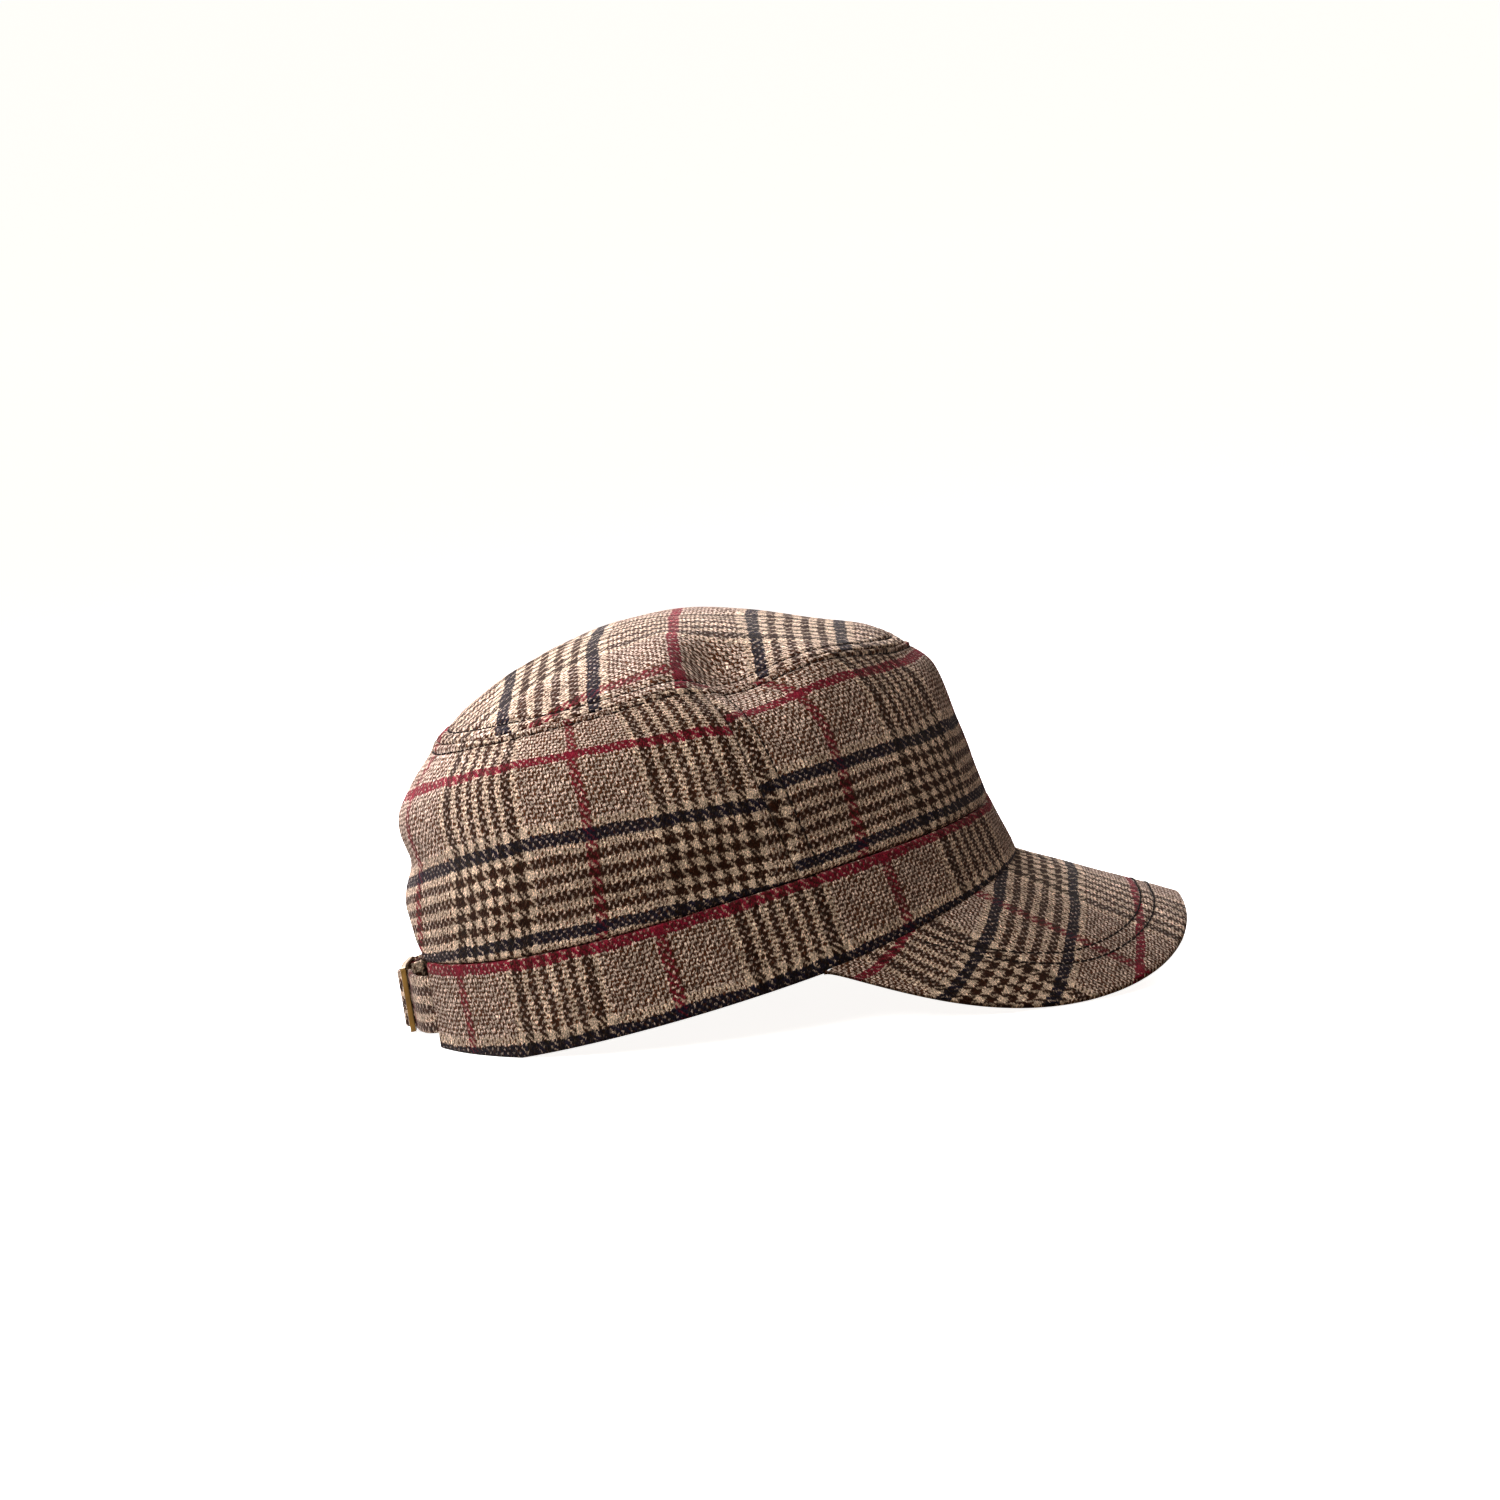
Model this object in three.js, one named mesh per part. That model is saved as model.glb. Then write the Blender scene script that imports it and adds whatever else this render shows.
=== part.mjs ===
// A cadet cap of checked wool: a soft crown of a top panel, a front panel and two rear panels, a band
// round the head, a stiff curved peak, and a strap with a brass slide across the opening at the back.
// It stands as it would on a table, on the rear of its band and the two lower sides of its peak.
//
// The pieces are worked out in the cap's own frame, where the rim lies level: +X to the front, +Y to the
// wearer's left, +Z up, with the origin in the middle of the rim. The whole cap is then tipped back by
// REST_TILT. Angles go round the cap from the front, counterclockwise from above. Millimetres, degrees.
import * as THREE from "three";

// Driving dimensions
const WALL = 2.2; // cloth wall with its turned-in seams
const SEAM_GAP = 0.3; // between two pieces that are sewn together
const REST_TILT = 11.5; // the rim's slope, front up, when the cap stands on a table
const REST_X = -67; // where the rear of the rim starts to lie on the table
const RIM_SIDE_Z = -4.2; // the rim dips a little over the ears

// Sections round the cap from the rim up to the top seam: reach and height at the front, at the sides and
// at the back. point sharpens the oval towards its front and back ends.
const SECTIONS = [
  { name: "rim", frontX: 100.5, frontZ: 0, sideY: 82, sideZ: RIM_SIDE_Z, backX: -101, backZ: 0, point: 1 },
  { name: "band", frontX: 97.4, frontZ: 21.7, sideY: 81, sideZ: 26.6, backX: -96.5, backZ: 30, point: 1 },
  { name: "crown", frontX: 95.5, frontZ: 45, sideY: 81.5, sideZ: 57, backX: -90.3, backZ: 52, point: 1.05 },
  { name: "shoulder", frontX: 92.9, frontZ: 66, sideY: 76, sideZ: 82, backX: -83.8, backZ: 75, point: 1.15 },
  { name: "seam", frontX: 87, frontZ: 77.5, sideY: 66, sideZ: 93.5, backX: -67, backZ: 92, point: 1.22 },
];
const FRONT_RISE_POWER = 2; // how a section's height runs from the side to the front
const BACK_RISE_POWER = 4; // and from the side to the back

// Dome of the top panel
const DOME = { x: 4, z: 110.5, power: 2, frontToBack: 0.45 };

// Soft dents and swells of the cloth: centre, reach along each axis, and depth, inwards if negative.
const FOLDS = [
  { name: "right shoulder dent", x: 37, y: -60, z: 92, reachX: 15, reachY: 24, reachZ: 18, depth: -8 },
  { name: "left shoulder dent", x: 20, y: 60, z: 93, reachX: 17, reachY: 20, reachZ: 16, depth: -4 },
  { name: "right front swell", x: 62, y: -46, z: 88, reachX: 12, reachY: 18, reachZ: 14, depth: 2 },
  { name: "back crease", x: -90, y: -6, z: 59, reachX: 30, reachY: 46, reachZ: 6, depth: -2.8 },
  { name: "back swell", x: -88, y: -4, z: 72, reachX: 26, reachY: 50, reachZ: 8, depth: 0.8 },
  { name: "left rear crease", x: -66, y: 52, z: 62, reachX: 22, reachY: 24, reachZ: 6, depth: -2.5 },
  { name: "band pinch right", x: 6, y: -82, z: 36, reachX: 46, reachY: 16, reachZ: 6, depth: -1.2 },
  { name: "band pinch left", x: 6, y: 82, z: 36, reachX: 46, reachY: 16, reachZ: 6, depth: -1.2 },
];

// Seams between the crown's panels, as angles, and the opening at the back
const SIDE_SEAM = { low: 69.8, high: 75 };
const BACK_SEAM = 180;
const OPENING = { halfAngle: 21.6, riseShare: 0.24 }; // of the crown's height, at the centre back

// The peak is a sheet bent to a cylinder whose line runs forward and down from the front of the rim.
const PEAK = {
  thickness: 2.8,
  tipX: 147.5,
  cornerX: 32,
  halfWidth: 78,
  squareness: 2.9, // of its outline seen from above, where 2 is an ellipse
  slope: 34.4,
  bendRadius: 84,
  rootZ: 1.3, // its upper face at the front of the rim
  lift: 2, // of its free edge, over the bent sheet
};

// Strap, loop and slide, in the opening at the back. y runs across the back, from the wearer's right.
const STRAP = { low: 5.4, high: 23.9, thickness: 1.5, steps: 44 };
const SLIDE = {
  right: -3,
  left: 16,
  low: 4,
  high: 25.3,
  bar: 2, // width of the frame's bars
  middleBar: 5,
  thickness: 1.8,
  proud: 3, // of its middle, over the band's outer face
  corner: 1.6,
};
const LOOP_BAR_Y = SLIDE.left - SLIDE.bar / 2;
const LOOP_RADIUS = SLIDE.thickness / 2 + SEAM_GAP + STRAP.thickness / 2;
const BEHIND = SLIDE.proud - LOOP_RADIUS; // of the middle of the strap where it lies behind a bar
const OVER = SLIDE.proud + LOOP_RADIUS; // and where it lies over one
const IN_BAND = -WALL - SEAM_GAP - STRAP.thickness / 2 - 0.2;
const LAYER = STRAP.thickness + SEAM_GAP;

// Routes of the strap and the loop: y across the back, out from the band's outer face.
const STRAP_ROUTE = [
  { y: -44, out: IN_BAND - 0.2 },
  { y: -37, out: IN_BAND - 0.2 },
  { y: -31, out: IN_BAND - 0.2 },
  { y: -23, out: -0.8 },
  { y: -13, out: BEHIND - 0.6 },
  { y: -5, out: BEHIND - 0.3 },
  { y: -1.6, out: BEHIND - 0.2 },
  { y: 1.4, out: SLIDE.proud },
  { y: 3.8, out: OVER },
  { y: 6.2, out: OVER },
  { y: 8.4, out: SLIDE.proud },
  { y: 10.6, out: BEHIND - LAYER },
  { y: 16, out: BEHIND - 1.9 * LAYER },
  { y: 24, out: IN_BAND - 1.2 - LAYER },
  { y: 36, out: IN_BAND - 1.6 - 2 * LAYER },
];
const LOOP_ROUTE = [
  { y: 42, out: IN_BAND - 0.1 },
  { y: 35, out: IN_BAND },
  { y: 30, out: IN_BAND - 0.1 },
  { y: 24, out: 0.6 },
  { y: 19, out: OVER - 0.6 },
  { y: LOOP_BAR_Y + 0.4, out: OVER + 0.1 },
  { y: LOOP_BAR_Y - 1.6, out: SLIDE.proud + 1.6 },
  { y: LOOP_BAR_Y - 2.4, out: SLIDE.proud },
  { y: LOOP_BAR_Y - 1.6, out: SLIDE.proud - 1.6 },
  { y: LOOP_BAR_Y + 0.4, out: BEHIND - 0.1 },
  { y: 19, out: BEHIND - 0.4 },
  { y: 24, out: IN_BAND + 1.9 },
  { y: 30, out: IN_BAND - 1.1 * LAYER },
  { y: 42, out: IN_BAND - 0.1 - 1.1 * LAYER },
];

// Mesh steps
const STEPS = { panelRows: 9, bandRows: 3, topRings: 9, peakRows: 8, degreesPerColumn: 4, peakColumns: 44 };

const wool = new THREE.MeshStandardMaterial({ color: 0x8b775f, roughness: 0.95, metalness: 0 });
const brass = new THREE.MeshStandardMaterial({ color: 0xb08d4f, roughness: 0.35, metalness: 1 });

const radians = THREE.MathUtils.degToRad;
const mix = THREE.MathUtils.lerp;
const signedPower = (value, power) => Math.sign(value) * Math.abs(value) ** power;

// Height of the table under the tipped cap, in the cap's frame
function tableZ(x) {
  return RIM_SIDE_Z - (x - REST_X) * Math.tan(radians(REST_TILT));
}

// Upper face of the peak's bent sheet
function peakZ(x, y) {
  const crest = PEAK.rootZ - (x - SECTIONS[0].frontX) * Math.tan(radians(PEAK.slope));
  return crest - (PEAK.bendRadius - Math.sqrt(PEAK.bendRadius ** 2 - y * y));
}

// Lower edge of the band: on the peak in front, on the table at the rear
function bandEdgeZ(x, y) {
  return x > PEAK.cornerX ? peakZ(x, y) + SEAM_GAP + 0.15 : Math.max(RIM_SIDE_Z, tableZ(x));
}

function sectionPoint(section, angle) {
  const c = Math.cos(radians(angle));
  const s = Math.sin(radians(angle));
  const reach = c > 0 ? section.frontX : -section.backX;
  const endZ = c > 0 ? section.frontZ : section.backZ;
  const rise = Math.abs(c) ** (c > 0 ? FRONT_RISE_POWER : BACK_RISE_POWER);
  const z = mix(section.sideZ, endZ, rise);
  return new THREE.Vector3(reach * c, section.sideY * signedPower(s, section.point), z);
}

// The way from a point of the cap's outer face to its inner face
function inward(point) {
  const core = new THREE.Vector3(0.35 * point.x, 0, 0.55 * point.z);
  return core.sub(point).normalize();
}

function innerFace(point) {
  return point.clone().addScaledVector(inward(point), WALL);
}

function folded(point) {
  let depth = 0;
  for (const fold of FOLDS) {
    const dx = (point.x - fold.x) / fold.reachX;
    const dy = (point.y - fold.y) / fold.reachY;
    const dz = (point.z - fold.z) / fold.reachZ;
    depth += fold.depth * Math.exp(-(dx * dx + dy * dy + dz * dz));
  }
  return point.clone().addScaledVector(inward(point), -depth);
}

// Outer face of the band, share 0 at its lower edge and 1 at its upper
function bandPoint(angle, share) {
  const [rim, bandTop] = SECTIONS.slice(0, 2).map((section) => sectionPoint(section, angle));
  const point = rim.clone().lerp(bandTop, share);
  point.z = mix(bandEdgeZ(rim.x, rim.y), bandTop.z, share);
  return point;
}

// Outer face of the crown's sides, share 0 at the band and 1 at the top seam
function crownPoint(angle, share) {
  const rising = SECTIONS.slice(1).map((section) => sectionPoint(section, angle));
  return folded(new THREE.CatmullRomCurve3(rising).getPoint(share));
}

// Outer face of the top panel, share 0 at the top seam and 1 at its middle
function topPoint(angle, share) {
  const seam = sectionPoint(SECTIONS[SECTIONS.length - 1], angle);
  const radius = 1 - share;
  const power = DOME.power - DOME.frontToBack * Math.cos(radians(angle));
  const point = new THREE.Vector3(mix(DOME.x, seam.x, radius), seam.y * radius, 0);
  point.z = mix(DOME.z, seam.z, radius ** power);
  return folded(point);
}

// A closed wall between a grid of outer points and a grid of inner ones. Columns run counterclockwise
// from above and rows inwards or up, so that the faces point out.
function wall(columns, rows, outerAt, innerAt, joined = false) {
  const points = [];
  const triangles = [];
  const outer = [];
  const inner = [];
  for (let i = 0; i <= columns; i++) {
    const source = joined && i === columns ? 0 : i;
    outer.push([]);
    inner.push([]);
    for (let j = 0; j <= rows; j++) {
      if (source !== i) {
        outer[i].push(outer[source][j]);
        inner[i].push(inner[source][j]);
        continue;
      }
      const o = outerAt(i / columns, j / rows);
      outer[i].push(points.push(o) - 1);
      inner[i].push(points.push(innerAt(o, i / columns, j / rows)) - 1);
    }
  }
  const apart = (a, b) => points[a].distanceToSquared(points[b]) > 1e-8;
  const triangle = (a, b, c) => {
    if (apart(a, b) && apart(b, c) && apart(c, a)) triangles.push(a, b, c);
  };
  const quad = (a, b, c, d) => {
    triangle(a, b, c);
    triangle(a, c, d);
  };
  for (let i = 0; i < columns; i++) {
    for (let j = 0; j < rows; j++) {
      quad(outer[i][j], outer[i + 1][j], outer[i + 1][j + 1], outer[i][j + 1]);
      quad(inner[i][j], inner[i][j + 1], inner[i + 1][j + 1], inner[i + 1][j]);
    }
    quad(outer[i][0], inner[i][0], inner[i + 1][0], outer[i + 1][0]);
    quad(outer[i][rows], outer[i + 1][rows], inner[i + 1][rows], inner[i][rows]);
  }
  for (let j = 0; j < rows && !joined; j++) {
    quad(outer[0][j], outer[0][j + 1], inner[0][j + 1], inner[0][j]);
    quad(outer[columns][j], inner[columns][j], inner[columns][j + 1], outer[columns][j + 1]);
  }
  const geometry = new THREE.BufferGeometry().setFromPoints(points);
  geometry.setIndex(triangles);
  geometry.computeVertexNormals();
  return geometry;
}

function columnsFor(degrees) {
  return Math.round(degrees / STEPS.degreesPerColumn);
}

// Half of a seam's gap, as an angle on the side of the crown and as a share of a panel's height
const GAP_ANGLE = THREE.MathUtils.radToDeg(SEAM_GAP / 2 / SECTIONS[1].sideY);
const GAP_SHARE = SEAM_GAP / 2 / (SECTIONS[4].sideZ - SECTIONS[1].sideZ);

function seamAngle(share) {
  return mix(SIDE_SEAM.low, SIDE_SEAM.high, share);
}

// Lower edge of a rear panel, which rises over the opening at the back
function rearEdgeShare(angle) {
  const fromBack = (BACK_SEAM - Math.abs(angle)) / OPENING.halfAngle;
  const arch = fromBack < 1 ? OPENING.riseShare * Math.cos((fromBack * Math.PI) / 2) : 0;
  return GAP_SHARE + arch;
}

function frontPanel() {
  const at = (u, v) => {
    const share = mix(GAP_SHARE, 1 - GAP_SHARE, v);
    const edge = seamAngle(share) - GAP_ANGLE;
    return crownPoint(mix(-edge, edge, u), share);
  };
  return wall(columnsFor(2 * SIDE_SEAM.high), STEPS.panelRows, at, innerFace);
}

function rearPanel(side) {
  const at = (u, v) => {
    const fromSeam = side > 0 ? u : 1 - u;
    const back = BACK_SEAM - GAP_ANGLE;
    const guess = mix(seamAngle(v), back, fromSeam);
    const share = mix(rearEdgeShare(guess), 1 - GAP_SHARE, v);
    const angle = mix(seamAngle(share) + GAP_ANGLE, back, fromSeam);
    return crownPoint(side * angle, share);
  };
  return wall(columnsFor(BACK_SEAM - SIDE_SEAM.low), STEPS.panelRows, at, innerFace);
}

function topPanel() {
  const at = (u, v) => topPoint(360 * u, mix(GAP_SHARE, 1, v));
  return wall(columnsFor(360) - 14, STEPS.topRings, at, innerFace, true);
}

function band() {
  const end = BACK_SEAM - OPENING.halfAngle;
  const at = (u, v) => bandPoint(mix(-end, end, u), mix(0, 1 - 2 * GAP_SHARE, v));
  const innerAt = (outer, u, v) => {
    const point = innerFace(outer);
    if (v === 0) point.z = bandEdgeZ(point.x, point.y);
    return point;
  };
  return wall(columnsFor(2 * end), STEPS.bandRows, at, innerAt);
}

function peak() {
  const rim = SECTIONS[0];
  const rootAngle = THREE.MathUtils.radToDeg(Math.acos(PEAK.cornerX / rim.frontX));
  const at = (u, v) => {
    const across = mix(-1, 1, u);
    const root = sectionPoint(rim, across * rootAngle);
    root.addScaledVector(inward(root), WALL * (1 - across ** 6));
    const turn = radians(90 * across);
    const round = 2 / PEAK.squareness;
    const edgeX = PEAK.cornerX + (PEAK.tipX - PEAK.cornerX) * Math.abs(Math.cos(turn)) ** round;
    const edgeY = PEAK.halfWidth * signedPower(Math.sin(turn), round);
    const x = mix(edgeX, root.x, v);
    const y = mix(edgeY, root.y, v);
    return new THREE.Vector3(x, y, peakZ(x, y) + PEAK.lift * (1 - v));
  };
  const underside = (upper) => {
    const lean = upper.y / Math.sqrt(PEAK.bendRadius ** 2 - upper.y ** 2);
    const normal = new THREE.Vector3(Math.tan(radians(PEAK.slope)), lean, 1).normalize();
    const point = upper.clone().addScaledVector(normal, -PEAK.thickness);
    point.z = Math.max(point.z, tableZ(point.x));
    return point;
  };
  return wall(STEPS.peakColumns, STEPS.peakRows, at, underside);
}

// A point at the back of the cap: across it, out from the band's outer face, and up from the rim
function backPoint(y, out, z) {
  const [rim, bandTop] = SECTIONS;
  const share = z / bandTop.backZ;
  const reach = mix(rim.backX, bandTop.backX, share);
  const width = mix(rim.sideY, bandTop.sideY, share);
  const x = reach * Math.sqrt(1 - (y / width) ** 2);
  const normal = new THREE.Vector3(x / reach ** 2, y / width ** 2, 0).normalize();
  return new THREE.Vector3(x, y, z).addScaledVector(normal, out);
}

// A strip of doubled cloth that follows a route across the back
function strip(route) {
  const curve = new THREE.CatmullRomCurve3(route.map((p) => new THREE.Vector3(-p.y, p.out, 0)));
  const half = STRAP.thickness / 2;
  const face = (u, v, side) => {
    const middle = curve.getPoint(u);
    const along = curve.getTangent(u);
    const y = -(middle.x - side * half * along.y);
    const out = middle.y + side * half * along.x;
    return backPoint(y, out, mix(STRAP.low, STRAP.high, v));
  };
  return wall(STRAP.steps, 2, (u, v) => face(u, v, 1), (outer, u, v) => face(u, v, -1));
}

function roundedRectangle(shape, left, right, low, high, corner) {
  shape.moveTo(left + corner, low);
  shape.lineTo(right - corner, low);
  shape.absarc(right - corner, low + corner, corner, -Math.PI / 2, 0, false);
  shape.lineTo(right, high - corner);
  shape.absarc(right - corner, high - corner, corner, 0, Math.PI / 2, false);
  shape.lineTo(left + corner, high);
  shape.absarc(left + corner, high - corner, corner, Math.PI / 2, Math.PI, false);
  shape.lineTo(left, low + corner);
  shape.absarc(left + corner, low + corner, corner, Math.PI, 1.5 * Math.PI, false);
}

// The slide is a plate with two windows, drawn flat with its wearer's left at -X and bent to the back.
function slide() {
  const outline = new THREE.Shape();
  roundedRectangle(outline, -SLIDE.left, -SLIDE.right, SLIDE.low, SLIDE.high, SLIDE.corner);
  const barEdge = SLIDE.bar / 2;
  const windows = [
    { left: -SLIDE.left + SLIDE.bar, right: -SLIDE.middleBar - barEdge },
    { left: -SLIDE.middleBar + barEdge, right: -SLIDE.right - SLIDE.bar },
  ];
  const margin = (SLIDE.high - SLIDE.low - (STRAP.high - STRAP.low)) / 2 - SEAM_GAP;
  for (const gap of windows) {
    const path = new THREE.Path();
    roundedRectangle(path, gap.left, gap.right, SLIDE.low + margin, SLIDE.high - margin, 0.6);
    outline.holes.push(path);
  }
  const flat = { depth: SLIDE.thickness, bevelEnabled: false, curveSegments: 3 };
  const plate = new THREE.ExtrudeGeometry(outline, flat);
  const position = plate.getAttribute("position");
  for (let i = 0; i < position.count; i++) {
    const out = SLIDE.proud - SLIDE.thickness / 2 + position.getZ(i);
    const point = backPoint(-position.getX(i), out, position.getY(i));
    position.setXYZ(i, point.x, point.y, point.z);
  }
  plate.computeVertexNormals();
  return plate;
}

const PIECES = [
  { name: "crown_top", geometry: topPanel(), material: wool },
  { name: "crown_front", geometry: frontPanel(), material: wool },
  { name: "crown_rear_right", geometry: rearPanel(-1), material: wool },
  { name: "crown_rear_left", geometry: rearPanel(1), material: wool },
  { name: "band", geometry: band(), material: wool },
  { name: "peak", geometry: peak(), material: wool },
  { name: "back_strap", geometry: strip(STRAP_ROUTE), material: wool },
  { name: "strap_loop", geometry: strip(LOOP_ROUTE), material: wool },
  { name: "slide_buckle", geometry: slide(), material: brass },
];

// The tipped cap, and round it the part's own frame: on the table, with its footprint's middle at the origin
const tipped = new THREE.Group();
tipped.rotation.y = -radians(REST_TILT);
for (const piece of PIECES) {
  const mesh = new THREE.Mesh(piece.geometry, piece.material);
  mesh.name = piece.name;
  tipped.add(mesh);
}
const part = new THREE.Group();
part.add(tipped);
const box = new THREE.Box3().setFromObject(part, true);
const middle = box.getCenter(new THREE.Vector3());
tipped.position.set(-middle.x, -middle.y, -box.min.z);

export default part;
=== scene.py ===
import math

import bpy
import numpy as np
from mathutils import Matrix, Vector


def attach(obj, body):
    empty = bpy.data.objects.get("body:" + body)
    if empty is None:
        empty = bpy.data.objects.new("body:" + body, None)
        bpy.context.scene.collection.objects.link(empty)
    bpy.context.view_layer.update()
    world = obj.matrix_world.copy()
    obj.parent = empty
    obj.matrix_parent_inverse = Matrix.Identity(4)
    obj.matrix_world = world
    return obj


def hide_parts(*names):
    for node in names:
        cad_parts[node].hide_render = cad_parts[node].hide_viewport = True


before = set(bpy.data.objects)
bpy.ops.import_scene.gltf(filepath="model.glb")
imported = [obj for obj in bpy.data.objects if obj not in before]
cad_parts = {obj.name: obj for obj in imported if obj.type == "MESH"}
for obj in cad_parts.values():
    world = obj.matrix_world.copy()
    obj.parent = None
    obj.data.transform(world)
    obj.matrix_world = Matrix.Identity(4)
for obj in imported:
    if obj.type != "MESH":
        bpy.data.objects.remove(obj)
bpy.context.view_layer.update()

bpy.ops.object.select_all(action="DESELECT")

# Right rear panel of the crown
# A shaped piece of heavy checked wool, cut on the straight grain, that runs from the side seam to the
# centre back. It is sewn to the top, to its neighbours and to the band with its edges turned in.
WALL = 2.2
TIP = math.radians(11.5)
TIPPED_TO = np.array([-22.2426, 0.0, 17.4733])
# Sizes are in mm, x forward and z up from the rim before the cap is tipped onto the table, and angles in
# degrees round the head from the front. A share runs from 0 at one edge of a piece to 1 at the other.
# Reach and height of the sections: front x and z, side y and z, back x and z, sharpness of the ends
RIM = (100.5, 0.0, 82.0, -4.2, -101.0, 0.0, 1.0)
BAND_TOP = (97.4, 21.7, 81.0, 26.6, -96.5, 30.0, 1.0)
CROWN_SECTIONS = (
    BAND_TOP,
    (95.5, 45.0, 81.5, 57.0, -90.3, 52.0, 1.05),
    (92.9, 66.0, 76.0, 82.0, -83.8, 75.0, 1.15),
    (87.0, 77.5, 66.0, 93.5, -67.0, 92.0, 1.22),
)
# Dents and swells: centre, reach along each axis, depth
FOLDS = (
    (37, -60, 92, 15, 24, 18, -8.0),
    (20, 60, 93, 17, 20, 16, -4.0),
    (62, -46, 88, 12, 18, 14, 2.0),
    (14, -42, 100, 7, 16, 12, 2.8),
    (27, -55, 95, 10, 15, 14, -4.6),
    (-90, -6, 59, 30, 46, 6, -2.8),
    (-88, -4, 72, 26, 50, 8, 0.8),
    (-66, 52, 62, 22, 24, 6, -2.5),
    (6, -82, 36, 46, 16, 6, -1.2),
    (6, 82, 36, 46, 16, 6, -1.2),
    (75, 0, 84.5, 10, 45, 8, 1.1),
    (92, 0, 70, 6, 45, 8, 0.9),
    (87, 0, 77.5, 6, 50, 6, -1.3),
)
SIDE_SEAM_LOW, SIDE_SEAM_HIGH = 69.8, 75.0
OPENING_HALF, OPENING_RISE = 21.6, 0.24
CROWN_HEIGHT = 66.0
MM_PER_DEGREE, MM_PER_DEGREE_BACK = 1.6, 1.3
SEAM_GAP = 0.3
# Rolls of the sewn edges, and how far the row of stitches lies below the top seam
LOW_ROLL, SIDE_ROLL, BACK_ROLL = 1.2, 1.7, 1.3
SEAM_STITCH = 3.3
PUCKER = 0.16
# Outside, a seam is an open groove; inside, its two edges meet with this small lap, which keeps light out
EDGE_SHARE = 0.003
INSIDE_LAP = 0.02


def section_point(section, angle):
    front_x, front_z, side_y, side_z, back_x, back_z, point = section
    c = np.cos(np.radians(angle))
    s = np.sin(np.radians(angle))
    reach = np.where(c > 0, front_x, -back_x)
    end_z = np.where(c > 0, front_z, back_z)
    rise = np.abs(c) ** np.where(c > 0, 2, 4)
    side = side_y * np.sign(s) * np.abs(s) ** point
    return np.stack([reach * c, side, side_z + (end_z - side_z) * rise], -1)


def inward(point):
    core = point * np.array([0.35, 0.0, 0.55]) - point
    return core / np.linalg.norm(core, axis=-1, keepdims=True)


def folded(point):
    depth = np.zeros(point.shape[:-1])
    for x, y, z, reach_x, reach_y, reach_z, deep in FOLDS:
        away = ((point - (x, y, z)) / (reach_x, reach_y, reach_z)) ** 2
        depth += deep * np.exp(-away.sum(-1))
    return point - inward(point) * depth[..., None]


def smooth_curve(points, share):
    last = len(points) - 1
    at = np.clip(np.floor(share * last).astype(int), 0, last - 1)
    w = (share * last - at)[..., None]
    stack = np.stack(points, 0)

    def pick(k):
        return np.take_along_axis(stack, k[None, ..., None], 0)[0]

    p1 = pick(at)
    p2 = pick(at + 1)
    p0 = np.where((at > 0)[..., None], pick(np.maximum(at - 1, 0)), 2 * p1 - p2)
    p3 = np.where((at < last - 1)[..., None], pick(np.minimum(at + 2, last)), 2 * p2 - p1)
    d0, d1, d2 = (
        np.maximum(np.linalg.norm(b - a, axis=-1, keepdims=True) ** 0.5, 1e-4)
        for a, b in ((p0, p1), (p1, p2), (p2, p3))
    )
    t1 = ((p1 - p0) / d0 - (p2 - p0) / (d0 + d1) + (p2 - p1) / d1) * d1
    t2 = ((p2 - p1) / d1 - (p3 - p1) / (d1 + d2) + (p3 - p2) / d2) * d1
    return p1 + t1 * w + (3 * (p2 - p1) - 2 * t1 - t2) * w**2 + (2 * (p1 - p2) + t1 + t2) * w**3


def crown_point(angle, share):
    return folded(smooth_curve([section_point(s, angle) for s in CROWN_SECTIONS], share))


def turned_edge(from_edge, radius=0.9):
    # How far the cloth rolls in over the last part before a sewn edge
    left = np.clip(radius - from_edge, 0, radius)
    return -(radius - np.sqrt(radius**2 - left**2))


def stitched_edge(from_edge, stitch_at, puff=0.4, radius=0.8):
    # The cloth stands up over the turned-in edge and is drawn down by a row of stitches
    swell = np.sin(np.pi * np.clip(from_edge / stitch_at, 0, 1)) ** 0.7
    dip = 0.75 * np.exp(-(((from_edge - stitch_at) / 0.6) ** 2))
    return turned_edge(from_edge, radius) + puff * swell * (from_edge < stitch_at) - dip


def uneven(point):
    # The soft waviness of steamed wool
    waves = np.random.default_rng(7)
    lift = np.zeros(point.shape[:-1])
    for length, height in ((52, 0.35), (37, 0.28), (26, 0.2), (19, 0.13), (13, 0.08)):
        way = waves.normal(size=3)
        way /= np.linalg.norm(way)
        lift += height * np.sin(point @ way * 2 * np.pi / length + waves.uniform(0, 6.28))
    return lift


def raised(point, height):
    return point - inward(point) * height[..., None]


def placed(point):
    c, s = math.cos(TIP), math.sin(TIP)
    x, y, z = point[..., 0], point[..., 1], point[..., 2]
    return (np.stack([x * c - z * s, y, x * s + z * c], -1) + TIPPED_TO) / 1000


def grades(length, fine=(0, 0.07, 0.2, 0.4, 0.65, 0.95, 1.4, 1.9, 2.5, 3.1, 3.7, 4.3, 5, 6), step=1.5):
    # Rows of a panel, close together by its two sewn edges, as distances along it
    fine = np.array(fine)
    middle = np.linspace(fine[-1], length - fine[-1], max(2, int((length - 2 * fine[-1]) / step)))
    return np.concatenate([fine[:-1], middle, (length - fine[:-1])[::-1]])


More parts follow.
